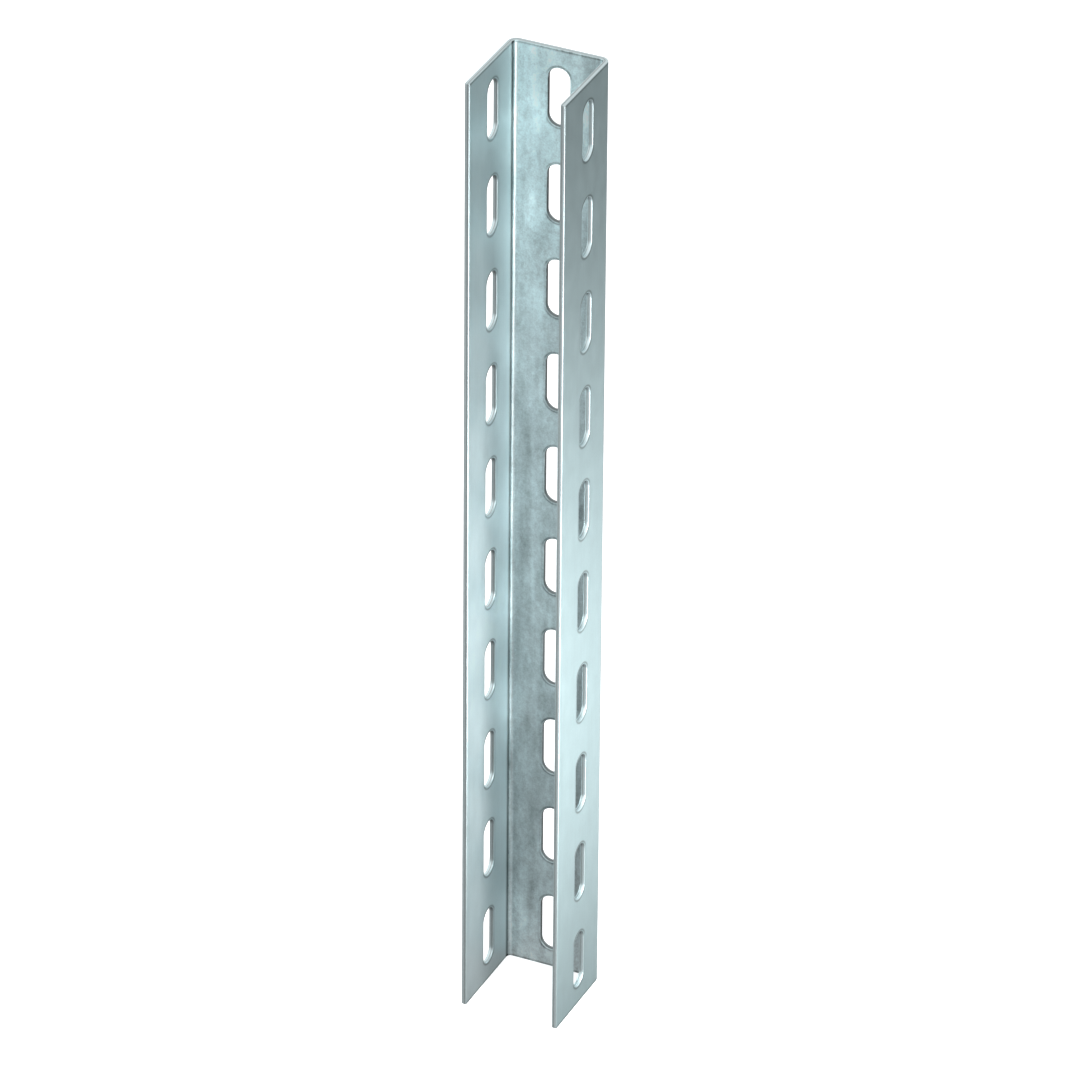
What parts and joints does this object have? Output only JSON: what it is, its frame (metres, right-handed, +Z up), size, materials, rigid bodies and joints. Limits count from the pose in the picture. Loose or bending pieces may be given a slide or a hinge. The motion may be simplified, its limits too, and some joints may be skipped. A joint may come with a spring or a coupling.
{
  "type": "slotted strut channel",
  "caption": "Straight U-shaped strut channel of galvanised sheet steel, with a row of long slots through the web and both flanges, for bolted framing and supports.",
  "frame": {"origin": "centre of the bounding box's bottom, on the floor that the channel's cut end stands on", "axes": "+Z up along the channel's length; the web's back faces +Y and the open side faces -Y; the flanges lie at -X and +X"},
  "size_m": [0.05, 0.05, 0.5],
  "materials": {
    "galvanised_steel": "hot-dip galvanised: satin pale grey zinc with a soft cloudy spangle"
  },
  "bodies": {
    "root": {"strut_channel": "galvanised_steel"}
  },
  "joints": []
}
